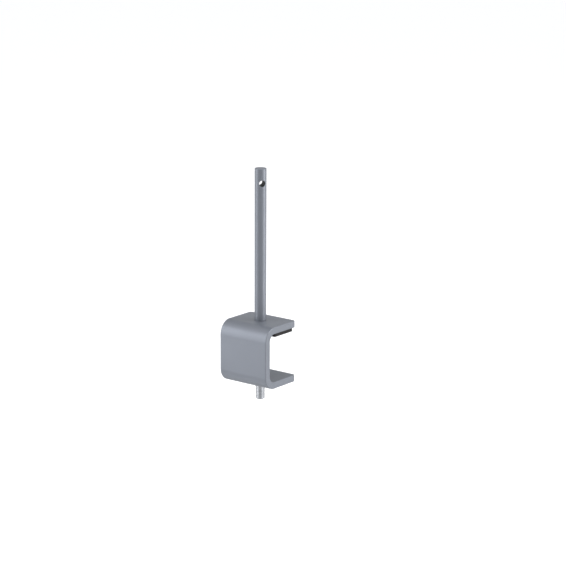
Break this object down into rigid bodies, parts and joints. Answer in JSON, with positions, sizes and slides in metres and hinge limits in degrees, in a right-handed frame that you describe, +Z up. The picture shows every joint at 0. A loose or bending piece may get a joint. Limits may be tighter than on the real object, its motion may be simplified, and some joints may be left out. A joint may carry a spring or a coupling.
{
  "type": "table edge clamp with upright rod",
  "caption": "C-shaped bent steel bar that clamps a board's edge with a screw from below and carries an upright round rod, cross-drilled near its top.",
  "frame": {"origin": "where the common axis of the rod and the clamp screw meets the underside of the jaw pad, which is the top of the clamped board", "axes": "+Z up the rod, +X along the bar's width, +Y from the spine of the C to the tips of its jaws"},
  "size_m": [0.05, 0.042, 0.2035],
  "materials": {
    "grey_coat": "satin silver-grey powder coat",
    "zinc": "bright zinc plating",
    "spring_steel": "dark spring wire",
    "black_rubber": "matte moulded rubber"
  },
  "bodies": {
    "bracket": {"clamp_bracket": "grey_coat", "upright_rod": "grey_coat", "rod_screw": "zinc", "jaw_pad": "black_rubber"},
    "carrier": {"snap_ring": "spring_steel"},
    "screw": {"clamp_screw": "zinc"},
    "foot": {"thrust_pad": "zinc", "thrust_pad_face": "black_rubber"}
  },
  "joints": [
    {"name": "clamp_travel", "type": "slide", "parent": "bracket", "child": "carrier", "axis": [0, 0, 1], "range_m": [-0.005, 0.015]},
    {"name": "screw_turn", "type": "hinge", "parent": "carrier", "child": "screw", "pos_m": [0, 0, -0.035], "axis": [0, 0, 1], "range_deg": [-1440, 4320]},
    {"name": "pad_tilt", "type": "hinge", "parent": "carrier", "child": "foot", "pos_m": [0, 0, -0.03304], "axis": [1, 0, 0], "range_deg": [-4, 4]}
  ],
  "couplings": [
    {"joint": "screw_turn", "follows": "clamp_travel", "rad_per_m": 5026.5}
  ]
}
